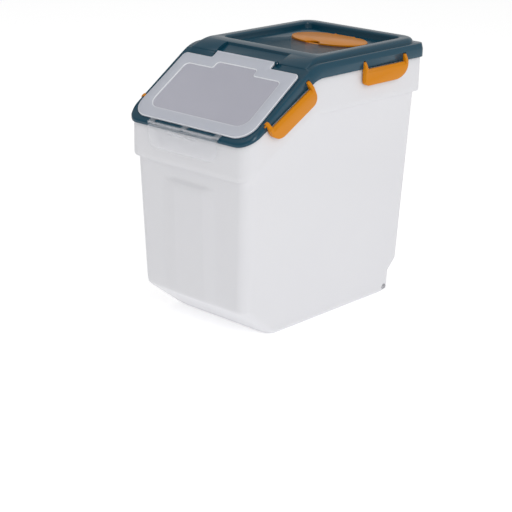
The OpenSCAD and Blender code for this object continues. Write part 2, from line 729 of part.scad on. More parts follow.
module desiccant_cover() {
    barrel = cover_half_hinge - fit_gap;
    pin = cover_half_hinge + cover_lug_w - fit_gap;
    color("orange") {
        difference() {
            translate([0, box_y, cover_h]) linear_extrude(cover_t) oval(box_len - 1, box_w - 1);
            translate([-far / 2, cover_axis_y - 2.2, cover_h - 5]) cube([far, far, 20]);
            translate([0, box_y - box_w / 2, cover_h - 5]) cylinder(r = thumb_r, h = 20);
        }
        translate([-barrel, cover_axis_y - 2.4, cover_h]) cube([2 * barrel, 2.4, cover_t]);
        translate([-barrel, cover_axis_y, cover_h + cover_t / 2]) rotate([0, 90, 0]) cylinder(d = cover_t, h = 2 * barrel);
        translate([-pin, cover_axis_y, cover_h + cover_t / 2]) rotate([0, 90, 0]) cylinder(d = cover_pin_dia, h = 2 * pin);
    }
}
module wheel_axle() {
    color("silver") translate([0, axle_y, axle_h]) rotate([0, 90, 0]) {
        cylinder(d = axle_dia - 0.04, h = 2 * (ear_x - 1), center = true);
    }
}
module wheel(side) {
    x0 = recess_half_w - 4 - wheel_w;
    color("dimgray") translate([side * (x0 + wheel_w / 2), axle_y, axle_h]) rotate([0, 90, 0]) difference() {
        union() {
            cylinder(d = wheel_dia, h = wheel_w, center = true);
            cylinder(d = axle_dia + 5, h = wheel_w + 3, center = true);
        }
        cylinder(d = axle_dia + 0.08, h = 60, center = true);
    }
}
module axle_caps() {
    color("silver") for (s = [-1, 1]) {
        translate([s * (ear_x - cap_bore_depth + 0.02), axle_y, axle_h]) rotate([0, s * 90, 0]) difference() {
            cylinder(d = cap_bore_dia - 1.2, h = 1.2);
            translate([0, 0, -1]) cylinder(d = axle_dia - 0.04, h = 4);
        }
    }
}
bin_body();
main_lid();
main_lid_seal();
flip_lid();
flip_lid_seal();
front_latch();
side_latch(1, true);  // latch_right_slope
side_latch(1, false);  // latch_right_flat
side_latch(-1, true);  // latch_left_slope
side_latch(-1, false);  // latch_left_flat
desiccant_cup();
desiccant_cover();
wheel_axle();
wheel(-1);  // wheel_left
wheel(1);  // wheel_right
axle_caps();
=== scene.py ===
"""Looks of a rice bin with a flip lid: white tub, teal lid, frosted flip lid, orange latches and rear wheels.

Sizes are in millimetres and the meshes in metres. The bin stands on z = 0 with its pouring slope towards -Y.
"""
import logging
import math
from dataclasses import dataclass, field
from enum import Enum

import bmesh
import bpy
import numpy as np
from mathutils import Matrix, Vector


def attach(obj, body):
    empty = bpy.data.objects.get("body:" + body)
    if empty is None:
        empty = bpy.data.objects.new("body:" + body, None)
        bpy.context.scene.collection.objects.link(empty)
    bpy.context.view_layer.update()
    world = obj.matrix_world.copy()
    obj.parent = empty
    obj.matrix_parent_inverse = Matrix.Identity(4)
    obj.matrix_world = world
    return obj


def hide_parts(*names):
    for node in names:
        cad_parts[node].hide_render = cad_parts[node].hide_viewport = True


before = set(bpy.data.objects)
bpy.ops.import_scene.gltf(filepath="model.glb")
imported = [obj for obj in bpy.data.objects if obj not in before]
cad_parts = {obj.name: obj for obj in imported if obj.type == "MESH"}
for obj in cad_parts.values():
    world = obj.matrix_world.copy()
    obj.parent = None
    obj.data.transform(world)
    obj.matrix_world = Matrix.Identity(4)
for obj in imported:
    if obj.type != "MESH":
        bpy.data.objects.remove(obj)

MM = 0.001
LOG = logging.getLogger("rice_bin")
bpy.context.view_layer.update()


class Side(Enum):
    """Left or right side of the bin, as seen from the front."""
    LEFT = -1
    RIGHT = 1


class Run(Enum):
    """The two straight parts of the rim that carry side latches."""
    SLOPE = "slope"
    FLAT = "flat"


@dataclass(frozen=True)
class Rim:
    """Driving sizes of the lid's rim, which the tub, the lid and the latches share."""
    width: float = 234.0
    depth: float = 370.0
    front_y: float = -182.75
    front_h: float = 283.0
    rear_h: float = 356.0
    angle: float = 28.5
    bend_r: float = 45.0
    front_r: float = 24.0
    rear_r: float = 12.0
    proud: float = 3.6

    def line(self, y: np.ndarray, up: float = 0.0) -> np.ndarray:
        """Height of the rim's lower edge, raised by a distance.

        A slope of the rim's angle and a level line, joined by a circle that touches both.

        Args:
            y: Places along the bin, front to rear.
            up: Distance above the lower edge.

        Returns:
            The heights, one for each place.
        """
        slope = math.tan(math.radians(self.angle))
        start = self.front_y + (self.rear_h - self.front_h) / slope
        run = self.bend_r * math.tan(math.radians(self.angle) / 2)
        level = start + run
        turn = level - self.bend_r * math.sin(math.radians(self.angle))
        arc = self.rear_h - self.bend_r + np.sqrt(np.maximum(self.bend_r**2 - (y - level) ** 2, 0.0))
        ramp = self.front_h + (y - self.front_y) * slope
        return np.where(y < turn, ramp, np.where(y < level, arc, self.rear_h)) + up


    def latch_frame(self, side: Side, run: Run, back: float) -> Matrix:
        """Matrix of a side latch's frame, in millimetres: x outwards, y along the rim and z up from its lower edge.

        Args:
            side: Side of the bin.
            run: Part of the rim.
            back: Distance of the latch's middle behind the rim's front.

        Returns:
            The matrix, which mirrors x on the left.
        """
        angle = math.radians(self.angle if run is Run.SLOPE else 0.0)
        height = self.front_h + back * math.tan(angle) if run is Run.SLOPE else self.rear_h
        place = Matrix.Translation((0, self.front_y + back, height)) @ Matrix.Rotation(angle, 4, "X")
        return place @ Matrix.Diagonal((side.value, 1, 1, 1))


RIM = Rim()


def linear(red: int, green: int, blue: int) -> tuple[float, float, float, float]:
    """Turns screen colours of 0 to 255 into linear ones.

    Each channel follows the sRGB curve: ((c + 0.055) / 1.055) to the power 2.4.
    """
    c = (np.array([red, green, blue]) / 255 + 0.055) / 1.055
    return (*(c**2.4).tolist(), 1.0)


@dataclass(frozen=True)
class Perimeter:
    """Points round a rounded rectangle, as fractions that fit any size of it.

    Each point is a corner's centre plus its radius along a unit direction. The centre's place is a fraction of the
    width and of the depth, so whole rings of different sizes share their points.
    """
    corner: int = 10
    side: int = 60
    end: int = 60

    def fractions(self) -> tuple[np.ndarray, np.ndarray, np.ndarray, np.ndarray]:
        """Centre fractions across and along, and unit directions, counter-clockwise from the rear left corner."""
        quarter = np.linspace(0, np.pi / 2, self.corner + 1)
        spots = [(-1, 1, np.pi / 2), (-1, 0, np.pi), (1, 0, -np.pi / 2), (1, 1, 0.0)]
        counts = [self.side, self.end, self.side, self.end]
        rows = []
        for (fx, fy, start), (gx, gy, _), count in zip(spots, spots[1:] + spots[:1], counts):
            arc = quarter + start
            rows.append(np.stack([np.full(arc.size, fx), np.full(arc.size, fy), np.cos(arc), np.sin(arc)], 1))
            k = np.linspace(0, 1, count + 2)[1:-1]
            direction = [math.cos(arc[-1]), math.sin(arc[-1])]
            straight = np.stack([fx + (gx - fx) * k, fy + (gy - fy) * k, *[np.full(count, d) for d in direction]], 1)
            rows.append(straight)
        return tuple(np.concatenate(rows).T)

    def ring(self, half_w: np.ndarray, y0: np.ndarray, y1: np.ndarray, front_r: float, rear_r: float) -> np.ndarray:
        """Plan points of a rounded rectangle.

        Args:
            half_w: Half width, one number or one for each point.
            y0: Front, likewise.
            y1: Rear, likewise.
            front_r: Radius of the front corners.
            rear_r: Radius of the rear corners.

        Returns:
            Points as rows of x and y.
        """
        fx, fy, ax, ay = self.fractions()
        r = front_r + (rear_r - front_r) * fy
        x = fx * (half_w - r) + r * ax
        y = (y0 + front_r) * (1 - fy) + (y1 - rear_r) * fy + r * ay
        return np.stack([x, y], 1)


def polygon_loop(corners: list, radii: list, inset: float = 0.0, steps: int = 8) -> np.ndarray:
    """Outline of a polygon with round corners, drawn in by a distance.

    Each edge moves inwards along its normal, neighbours are intersected again, and each corner becomes an arc
    whose radius shrinks by the inset, or grows by it where the corner points inwards.

    Args:
        corners: Points, counter-clockwise.
        radii: Radius at each point.
        inset: Distance to draw the outline in.
        steps: Pieces in each arc.

    Returns:
        Points as rows of x and y, as many for any inset.
    """
    p = np.asarray(corners, float)
    d = np.roll(p, -1, 0) - p
    d /= np.linalg.norm(d, axis=1, keepdims=True)
    n = np.stack([-d[:, 1], d[:, 0]], 1)
    c = (p * n).sum(1) + inset
    dp, n_p, c_p = np.roll(d, 1, 0), np.roll(n, 1, 0), np.roll(c, 1)
    det = n_p[:, 0] * n[:, 1] - n_p[:, 1] * n[:, 0]
    v = np.stack([c_p * n[:, 1] - c * n_p[:, 1], n_p[:, 0] * c - n[:, 0] * c_p], 1) / det[:, None]
    turn = np.arctan2(dp[:, 0] * d[:, 1] - dp[:, 1] * d[:, 0], (dp * d).sum(1))
    sign = np.sign(turn)
    r = np.maximum(np.asarray(radii, float) - inset * sign, 0.05)
    centre = v - dp * (r * np.tan(np.abs(turn) / 2))[:, None] + n_p * (r * sign)[:, None]
    start = np.arctan2(-n_p[:, 1] * sign, -n_p[:, 0] * sign)
    angle = start[:, None] + turn[:, None] * np.linspace(0, 1, steps + 1)[None]
    arcs = centre[:, None] + r[:, None, None] * np.stack([np.cos(angle), np.sin(angle)], -1)
    return arcs.reshape(-1, 2)


def lift(loop: np.ndarray, z: float) -> np.ndarray:
    """Gives a flat outline a height, one number or one for each point."""
    return np.column_stack([loop, np.broadcast_to(z, len(loop))])


def skin(rings: np.ndarray) -> tuple[np.ndarray, list]:
    """Closed skin over a stack of rings, with a flat cap on the first and the last.

    Args:
        rings: Array of rings, points and coordinates.

    Returns:
        Vertices, and faces as lists of indices.
    """
    count, size, _ = rings.shape
    here = np.arange(size)
    after = np.roll(here, -1)
    quad = np.stack([here, after, after + size, here + size], 1)
    quads = (quad[None] + size * np.arange(count - 1)[:, None, None]).reshape(-1, 4)
    last = (count - 1) * size
    return rings.reshape(-1, 3), quads.tolist() + [here[::-1].tolist(), (here + last).tolist()]


def rod_rings(x0: float, x1: float, y: float, z: float, r: float, edge: float = 0.25, steps: int = 28) -> list:
    """Rings of a round rod along x, with its two end edges cut off by a small distance."""
    angle = np.linspace(0, 2 * np.pi, steps, endpoint=False)
    rows = [(x0, r - edge), (x0 + edge, r), (x1 - edge, r), (x1, r - edge)]
    return [np.column_stack([np.full(steps, x), y + k * np.cos(angle), z + k * np.sin(angle)]) for x, k in rows]


def block_rings(x: tuple, y: tuple, z: tuple, edge: float = 0.3) -> list:
    """Rings of a block with round edges, stacked along z between its two limits on each axis."""
    corners = [(x[0], y[0]), (x[1], y[0]), (x[1], y[1]), (x[0], y[1])]
    rows = [(edge, z[0]), (edge * 0.3, z[0] + edge * 0.3), (0, z[0] + edge),
            (0, z[1] - edge), (edge * 0.3, z[1] - edge * 0.3), (edge, z[1])]
    return [lift(polygon_loop(corners, [edge * 1.5] * 4, inset, 4), height) for inset, height in rows]


class Piece:
    """Collects parts of one mesh in millimetres and turns them into an object that rides on a body."""

    def __init__(self, name: str) -> None:
        """Starts an empty piece of that name."""
        self.name = name
        self.points: list[np.ndarray] = []
        self.faces: list[list[int]] = []
        self.slots: list[int] = []
        self.count = 0

    def add(self, points: np.ndarray, faces: list, slot: int = 0) -> "Piece":
        """Adds vertices and faces, whose indices count from this part's own first vertex."""
        self.points.append(np.asarray(points, float))
        self.faces += [[i + self.count for i in face] for face in faces]
        self.slots += [slot] * len(faces)
        self.count += len(points)
        return self

    def loft(self, rings: list | np.ndarray, place: Matrix | None = None, slot: int = 0) -> "Piece":
        """Adds a closed skin over rings, moved by a matrix if one is given."""
        points, faces = skin(np.asarray(rings, float))
        if place is not None:
            m = np.array(place)
            points = points @ m[:3, :3].T + m[:3, 3]
        return self.add(points, faces, slot)

    def build(self, body: str, materials: list, replaces: list[str], slot: str, bend: float = 32.0) -> bpy.types.Object:
        """Makes the object, with outward faces, smooth shading and its materials.

        Args:
            body: The body that it rides on.
            materials: Its materials, in the order of the parts' slots.
            replaces: Solids that it stands for.
            slot: Name of a material slot; not used.
            bend: Edges sharper than this many degrees stay sharp.

        Returns:
            The finished object.
        """
        return dress(self.plain(), body, materials, replaces, slot, bend)

    def plain(self) -> bpy.types.Object:
        """Makes the bare object at the origin, with outward faces."""
        mesh = bpy.data.meshes.new(self.name)
        mesh.from_pydata(np.concatenate(self.points) * MM, [], self.faces)
        mesh.polygons.foreach_set("material_index", np.array(self.slots, np.int32))
        obj = bpy.data.objects.new(self.name, mesh)
        bpy.context.scene.collection.objects.link(obj)
        work = bmesh.new()
        work.from_mesh(mesh)
        bmesh.ops.recalc_face_normals(work, faces=work.faces)
        work.to_mesh(mesh)
        work.free()
        return obj


def dress(obj: bpy.types.Object, body: str, materials: list, replaces: list[str], slot: str,
          bend: float) -> bpy.types.Object:
    """Gives a finished mesh its shading, materials, body and the solids that it stands for."""
    if obj.data.materials:
        obj.data.materials.clear()
    for material in materials:
        obj.data.materials.append(material)
    obj.data.shade_smooth()
    obj.data.set_sharp_from_angle(angle=math.radians(bend))
    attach(obj, body)
    if replaces:
        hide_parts(*replaces)
    LOG.info("%s rides on %s with %d faces", obj.name, body, len(obj.data.polygons))
    return obj


def apply_modifiers(obj: bpy.types.Object) -> None:
    """Puts the result of all modifiers into the mesh, and removes them."""
    graph = bpy.context.evaluated_depsgraph_get()
    result = bpy.data.meshes.new_from_object(obj.evaluated_get(graph))
    obj.modifiers.clear()
    obj.data = result


def softened(node: str, width: float, segments: int = 2, limit: float = 24.0, merge: float = 0.01) -> bpy.types.Object:
    """Copy of a solid's mesh with its flat faces joined and its edges rounded.

    Args:
        node: The solid's name.
        width: Width of the rounding, in millimetres.
        segments: Faces across the rounding.
        limit: Edges sharper than this many degrees are rounded.
        merge: Points closer than this, in millimetres, become one.

    Returns:
        A new object at the origin.
    """
    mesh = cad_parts[node].data.copy()
    work = bmesh.new()
    work.from_mesh(mesh)
    bmesh.ops.remove_doubles(work, verts=work.verts, dist=merge * MM)
    bmesh.ops.dissolve_limit(work, angle_limit=math.radians(1.5), verts=work.verts, edges=work.edges)
    work.to_mesh(mesh)
    work.free()
    obj = bpy.data.objects.new(node + "_piece", mesh)
    bpy.context.scene.collection.objects.link(obj)
    bevel = obj.modifiers.new("round", "BEVEL")
    bevel.width = width * MM
    bevel.segments = segments
    bevel.limit_method = "ANGLE"
    bevel.angle_limit = math.radians(limit)
    bevel.use_clamp_overlap = True
    bevel.harden_normals = False
    apply_modifiers(obj)
    return obj


def socket(group: bpy.types.NodeTree, name: str, way: str, kind: str, value: object = None) -> None:
    """Adds a socket to a node group, with its first value."""
    made = group.interface.new_socket(name=name, in_out=way, socket_type=kind)
    if value is not None:
        made.default_value = value


def wire(tree: bpy.types.NodeTree, start: bpy.types.NodeSocket, end: bpy.types.NodeSocket) -> None:
    """Joins two sockets."""
    tree.links.new(start, end)


def moulded_group() -> bpy.types.NodeTree:
    """Node group for moulded plastic: flow clouds in the colour, uneven gloss and a fine grain.

    The colour is mixed with a darker one by slow noise, the roughness is raised by a middle noise, and the height
    is a fine noise, all on Object coordinates.

    Returns:
        The node group, built once.
    """
    found = bpy.data.node_groups.get("MouldedPlastic")
    if found:
        return found
    group = bpy.data.node_groups.new("MouldedPlastic", "ShaderNodeTree")
    socket(group, "Colour", "INPUT", "NodeSocketColor", (0.8, 0.8, 0.8, 1))
    socket(group, "Shade", "INPUT", "NodeSocketColor", (0.7, 0.7, 0.7, 1))
    socket(group, "Gloss", "INPUT", "NodeSocketFloat", 0.3)
    socket(group, "Unevenness", "INPUT", "NodeSocketFloat", 0.05)
    socket(group, "Grain", "INPUT", "NodeSocketFloat", 1500.0)
    socket(group, "Colour", "OUTPUT", "NodeSocketColor")
    socket(group, "Roughness", "OUTPUT", "NodeSocketFloat")
    socket(group, "Height", "OUTPUT", "NodeSocketFloat")
    nodes = group.nodes
    start, end = nodes.new("NodeGroupInput"), nodes.new("NodeGroupOutput")
    place = nodes.new("ShaderNodeTexCoord")
    clouds, patches, grain = (nodes.new("ShaderNodeTexNoise") for _ in range(3))
    clouds.inputs["Scale"].default_value = 9.0
    clouds.inputs["Detail"].default_value = 3.0
    patches.inputs["Scale"].default_value = 60.0
    patches.inputs["Detail"].default_value = 5.0
    grain.inputs["Detail"].default_value = 2.0
    for noise in (clouds, patches, grain):
        wire(group, place.outputs["Object"], noise.inputs["Vector"])
    wire(group, start.outputs["Grain"], grain.inputs["Scale"])
    mix = nodes.new("ShaderNodeMix")
    mix.data_type = "RGBA"
    wire(group, clouds.outputs["Fac"], mix.inputs["Factor"])
    wire(group, start.outputs["Colour"], mix.inputs["A"])
    wire(group, start.outputs["Shade"], mix.inputs["B"])
    rough = nodes.new("ShaderNodeMath")
    rough.operation = "MULTIPLY_ADD"
    wire(group, patches.outputs["Fac"], rough.inputs[0])
    wire(group, start.outputs["Unevenness"], rough.inputs[1])
    wire(group, start.outputs["Gloss"], rough.inputs[2])
    wire(group, mix.outputs["Result"], end.inputs["Colour"])
    wire(group, rough.outputs["Value"], end.inputs["Roughness"])
    wire(group, grain.outputs["Fac"], end.inputs["Height"])
    return group


@dataclass(frozen=True)
class MouldedPlastic:
    """A moulded plastic finish, with numbers for its shader."""
    name: str
    colour: tuple[int, int, int]
    shade: tuple[int, int, int]
    gloss: float = 0.3
    unevenness: float = 0.06
    grain: float = 1500.0
    bump: float = 0.02
    coat: float = 0.0
    glow: float = 0.0
    clear: float = 0.0
    alpha: float = 1.0
    specular: float = 0.5

    def build(self) -> bpy.types.Material:
        """Makes the material, or returns the one made before."""
        found = bpy.data.materials.get(self.name)
        if found:
            return found
        material = bpy.data.materials.new(self.name)
        material.use_nodes = True
        tree = material.node_tree
        shader = tree.nodes["Principled BSDF"]
        group = tree.nodes.new("ShaderNodeGroup")
        group.node_tree = moulded_group()
        group.inputs["Colour"].default_value = linear(*self.colour)
        group.inputs["Shade"].default_value = linear(*self.shade)
        group.inputs["Gloss"].default_value = self.gloss
        group.inputs["Unevenness"].default_value = self.unevenness
        group.inputs["Grain"].default_value = self.grain
        bump = tree.nodes.new("ShaderNodeBump")
        bump.inputs["Strength"].default_value = self.bump
        bump.inputs["Distance"].default_value = 0.1 * MM
        wire(tree, group.outputs["Colour"], shader.inputs["Base Color"])
        wire(tree, group.outputs["Roughness"], shader.inputs["Roughness"])
        wire(tree, group.outputs["Height"], bump.inputs["Height"])
        wire(tree, bump.outputs["Normal"], shader.inputs["Normal"])
        shader.inputs["Coat Weight"].default_value = self.coat
        shader.inputs["Coat Roughness"].default_value = 0.12
        shader.inputs["Subsurface Weight"].default_value = self.glow
        shader.inputs["Subsurface Radius"].default_value = (3 * MM, 3 * MM, 3 * MM)
        shader.inputs["Transmission Weight"].default_value = self.clear
        shader.inputs["Alpha"].default_value = self.alpha
        shader.inputs["Specular IOR Level"].default_value = self.specular
        return material


@dataclass(frozen=True)
class DrawnSteel:
    """Drawn steel with fine lines along its length."""
    name: str = "drawn_steel"
    colour: tuple[int, int, int] = (176, 176, 180)

    def build(self) -> bpy.types.Material:
        """Makes the material, or returns the one made before."""
        found = bpy.data.materials.get(self.name)
        if found:
            return found
        material = bpy.data.materials.new(self.name)
        material.use_nodes = True
        tree = material.node_tree
        shader = tree.nodes["Principled BSDF"]
        place, stretch = tree.nodes.new("ShaderNodeTexCoord"), tree.nodes.new("ShaderNodeMapping")
        stretch.inputs["Scale"].default_value = (20, 1200, 1200)
        lines = tree.nodes.new("ShaderNodeTexNoise")
        lines.inputs["Scale"].default_value = 1.0
        ramp = tree.nodes.new("ShaderNodeMapRange")
        ramp.inputs["To Min"].default_value = 0.2
        ramp.inputs["To Max"].default_value = 0.42
        wire(tree, place.outputs["Object"], stretch.inputs["Vector"])
        wire(tree, stretch.outputs["Vector"], lines.inputs["Vector"])
        wire(tree, lines.outputs["Fac"], ramp.inputs["Value"])
        wire(tree, ramp.outputs["Result"], shader.inputs["Roughness"])
        shader.inputs["Base Color"].default_value = linear(*self.colour)
        shader.inputs["Metallic"].default_value = 1.0
        return material


WHITE = MouldedPlastic("tub_white", (222, 222, 225), (219, 219, 223), 0.38, 0.08, 1800, 0.03, specular=0.3)
TEAL = MouldedPlastic("lid_teal", (9, 66, 86), (7, 60, 79), 0.16, 0.07, 1200, 0.02, specular=0.36)
ORANGE = MouldedPlastic("latch_orange", (212, 133, 1), (205, 125, 1), 0.28, 0.06, 1500, 0.02, specular=0.2)
FROSTED = MouldedPlastic("flip_frosted", (222, 225, 235), (216, 220, 231), 0.36, 0.08, 2400, 0.08, alpha=0.66)
# Painted highlight: a near-white, almost opaque frosted colour laid on the flip lid's rounded edges to stand in for the
# light they catch.
PAINTED_HIGHLIGHT = MouldedPlastic("flip_painted_highlight", (248, 250, 253), (243, 245, 250), 0.2, 0.05, 2400, 0.02, alpha=0.85)
CLEAR = MouldedPlastic("latch_clear", (232, 233, 238), (227, 229, 235), 0.18, 0.05, 1500, 0.03, alpha=0.16)
WINDOW = MouldedPlastic("flip_window", (226, 226, 238), (220, 220, 233), 0.1, 0.02, 900, 0.01, alpha=0.5)
SILICONE = MouldedPlastic("seal_silicone", (206, 207, 212), (198, 199, 206), 0.55, 0.08, 2600, 0.05)
WHEEL = MouldedPlastic("wheel_black", (60, 61, 64), (50, 51, 54), 0.5, 0.1, 1800, 0.1)
STEEL = DrawnSteel()


LATCHES = {Run.SLOPE: 79.0, Run.FLAT: 275.5}


def carve(obj: bpy.types.Object, cutters: list) -> None:
    """Cuts closed skins, each given as rings, out of an object, and keeps the result in its mesh."""
    cutter = Piece("cutter")
    for rings in cutters:
        cutter.loft(rings)
    tool = cutter.plain()
    cut = obj.modifiers.new("cut", "BOOLEAN")
    cut.operation = "DIFFERENCE"
    cut.solver = "EXACT"
    cut.object = tool
    apply_modifiers(obj)
    bpy.data.objects.remove(tool)


@dataclass
class Tub:
    """The white bin: tapered tub, collar, raised front panel, catch ledges and the step for the wheels."""
    wall: float = 2.6
    overlap: float = 2.0
    collar_step: float = 4.0
    collar_h: float = 50.0
    side_draft: float = 0.045
    end_draft: float = 0.03
    chamfer_h: float = 48.0
    chamfer_d: float = 62.0
    corner_r: float = 15.0
    base_edge: float = 7.0
    panel_top: float = 217.0
    panel_half_w: float = 26.0
    panel_flank: float = 25.0
    panel_raise: float = 3.0
    step_y: float = 156.25
    step_h: float = 34.0
    step_run: float = 15.0
    step_rise: float = 16.0
    bay_y: float = 123.25
    bay_half_w: float = 83.0
    bay_h: float = 34.0
    axle_y: float = 140.25
    axle_h: float = 10.2
    bore_r: float = 2.5
    cap_bore_r: float = 4.8
    cap_bore_depth: float = 3.0
    catch_drop: float = 13.6
    catch_t: float = 2.4
    catch_reach: float = 2.0
    catch_len: float = 56.0
    rim: Rim = RIM
    perimeter: Perimeter = field(default_factory=lambda: Perimeter(10, 70, 76))

    def half_at(self, z: np.ndarray) -> np.ndarray:
        """Half width of the tub: it narrows evenly downwards, and by the base edge near the floor."""
        top = self.rim.width / 2 - self.rim.proud - self.collar_step
        return top - (self.rim.rear_h - self.collar_h - z) * self.side_draft - np.maximum(self.base_edge - z, 0)

    def front_at(self, z: np.ndarray) -> np.ndarray:
        """Front of the tub: it moves back evenly downwards, and along the cut at the front of the base."""
        top = self.rim.front_y + self.rim.proud + self.collar_step
        return top + (self.rim.rear_h - self.collar_h - z) * self.end_draft + self.cut_at(z)

    def cut_at(self, z: np.ndarray) -> np.ndarray:
        """How far the sloping cut sets the front back, with its crease rounded over about 3 mm."""
        rise = self.chamfer_h - z
        return (rise + np.sqrt(rise**2 + 9.0)) / 2 * self.chamfer_d / self.chamfer_h

    def rear_at(self, z: np.ndarray) -> np.ndarray:
        """Rear of the tub: it moves forward evenly downwards, but not past the step for the wheels."""
        top = self.rim.front_y + self.rim.depth - self.rim.proud - self.collar_step
        plain = top - (self.rim.rear_h - self.collar_h - z) * self.end_draft - np.maximum(self.base_edge - z, 0)
        step = self.step_y + np.clip((z - self.step_h) / self.step_rise, 0, 1) * self.step_run
        return np.minimum(plain, np.where(z < self.step_h + self.step_rise, step, plain))

    def collar_ring(self, inset: float, up: float) -> np.ndarray:
        """Ring on the collar, drawn in by a distance, at a height above the collar's lower edge."""
        grow = self.rim.proud + inset
        plan = self.perimeter.ring(self.rim.width / 2 - grow, self.rim.front_y + grow,
                                   self.rim.front_y + self.rim.depth - grow,
                                   max(self.rim.front_r - grow, 2), max(self.rim.rear_r - grow, 2))
        return lift(plan, self.rim.line(plan[:, 1], up - self.collar_h))

    def tub_ring(self, inset: float, z: np.ndarray) -> np.ndarray:
        """Ring on the tub, drawn in by a distance, at one height or one for each point."""
        r = self.corner_r - inset
        plan = self.perimeter.ring(self.half_at(z) - inset, self.front_at(z) + inset, self.rear_at(z) - inset, r, r)
        ring = lift(plan, z)
        facing = self.perimeter.fractions()[3] < -0.999
        flank = np.clip((self.panel_half_w - inset + self.panel_flank - np.abs(plan[:, 0])) / self.panel_flank, 0, 1)
        flank = flank * flank * (3 - 2 * flank) * 0.35 + flank * 0.65
        fade = np.clip((self.panel_top - ring[:, 2]) / 9, 0, 1) * np.clip((ring[:, 2] - self.chamfer_h + 6) / 8, 0, 1)
        fade = fade * fade * (3 - 2 * fade)
        ring[:, 1] -= np.where(facing, self.panel_raise * flank * fade, 0)
        return ring

    def under_collar(self, inset: float) -> np.ndarray:
        """Ring on the tub just under the collar, whose lower edge follows the rim's line."""
        z = self.collar_ring(0, 0)[:, 2]
        return self.tub_ring(inset, z + (inset if inset else 0))

    def rings(self) -> list[np.ndarray]:
        """Rings from the inner floor up the inside, over the rim and down the outside to the base."""
        inner = [self.inside_ring(z) for z in (self.wall, 8, 20, 30, 36.5, 37, 44, 50, 60, 100, 150, 200, 215, 228)]
        top = self.collar_h + self.overlap
        inner += [self.under_collar(self.wall), self.collar_ring(self.wall, self.wall)]
        inner += [self.collar_ring(self.wall, up) for up in (20.0, 40.0, top - 0.7)]
        lip = [self.collar_ring(self.wall - 0.7, top), self.collar_ring(0.7, top), self.collar_ring(0.2, top - 0.2)]
        outer = [self.collar_ring(0, up) for up in (top - 0.7, 40.0, 20.0, 8.0, 1.0)]
        outer += [self.collar_ring(0.3, 0.3), self.collar_ring(1.0, 0.0)]
        low = self.collar_ring(0, 0)[:, 2]
        outer += [self.tub_ring(-0.8, low - 0.1), self.tub_ring(-0.2, low - 0.5), self.tub_ring(0, low - 1.2)]
        levels = np.concatenate([np.linspace(228, 210, 13), np.linspace(200, 60, 8), np.linspace(54, 42, 9),
                                 [38, 34.2, 33.8, 28, 20, 14, 9, 7.5, 6.5, 5, 3.5, 2, 1, 0.4, 0.05]])
        outer += [self.blended(z, low - 1.2) for z in levels]
        return inner + lip + outer

    def blended(self, z: float, limit: np.ndarray) -> np.ndarray:
        """Ring at a height, but nowhere above the collar's lower edge."""
        return self.tub_ring(0, np.minimum(z, limit - 0.01 * (230 - z)))

    def inside_ring(self, z: float) -> np.ndarray:
        """Ring on the tub's inner face, which stays clear of the wheel bay near the floor."""
        ring = self.tub_ring(self.wall, np.full(len(self.perimeter.fractions()[0]), float(z)))
        if z < self.bay_h + self.wall:
            ring[:, 1] = np.minimum(ring[:, 1], self.bay_y - self.wall)
        return ring

    def ledge(self) -> list[np.ndarray]:
        """Rings of a catch ledge, in a side latch's frame."""
        collar = self.rim.width / 2 - self.rim.proud
        half = self.catch_len / 2
        top = -self.catch_drop
        return block_rings((collar - 1, collar + self.catch_reach), (-half, half), (top - self.catch_t, top), 0.4)

    def bay(self) -> list[np.ndarray]:
        """Rings of the block that cuts the wheel bay between the two rear ears."""
        w, h = self.bay_half_w, self.bay_h
        loop = polygon_loop([(self.bay_y, -5), (self.bay_y + 60, -5), (self.bay_y + 60, h), (self.bay_y, h)],
                            [0.1, 0.1, 0.1, 3.0], 0, 6)
        return [np.column_stack([np.full(len(loop), x), loop]) for x in (-w, w)]

    def build(self) -> bpy.types.Object:
        """Makes the bin."""
        piece = Piece("bin_shell").loft(self.rings())
        obj = piece.build("bin", [WHITE.build()], ["bin_body"], "white_plastic")
        ear_x = float(self.half_at(np.array(self.axle_h)))
        carve(obj, [self.bay()])
        carve(obj, [rod_rings(-150, 150, self.axle_y, self.axle_h, self.bore_r, 0.01, 40)])
        carve(obj, [rod_rings(s * (ear_x - self.cap_bore_depth), s * 150, self.axle_y, self.axle_h,
                              self.cap_bore_r, 0.01, 48) for s in (1, -1)])
        obj.data.shade_smooth()
        obj.data.set_sharp_from_angle(angle=math.radians(32))
        ledges = Piece("catch_ledges")
        for side in Side:
            for run, back in LATCHES.items():
                ledges.loft(self.ledge(), self.rim.latch_frame(side, run, back))
        ledges.build("bin", [WHITE.build()], [], "white_plastic")
        return obj


@dataclass
class Slope:
    """Frame of the flip lid: x across, y up the slope, and z out of it, from the rim's front edge."""
    angle: float = 34.2
    height: float = 291.5
    rim: Rim = RIM

    def place(self) -> Matrix:
        """Matrix from the slope's frame to the bin's, in millimetres."""
        return Matrix.Translation((0, self.rim.front_y, self.height)) @ Matrix.Rotation(math.radians(self.angle), 4, "X")


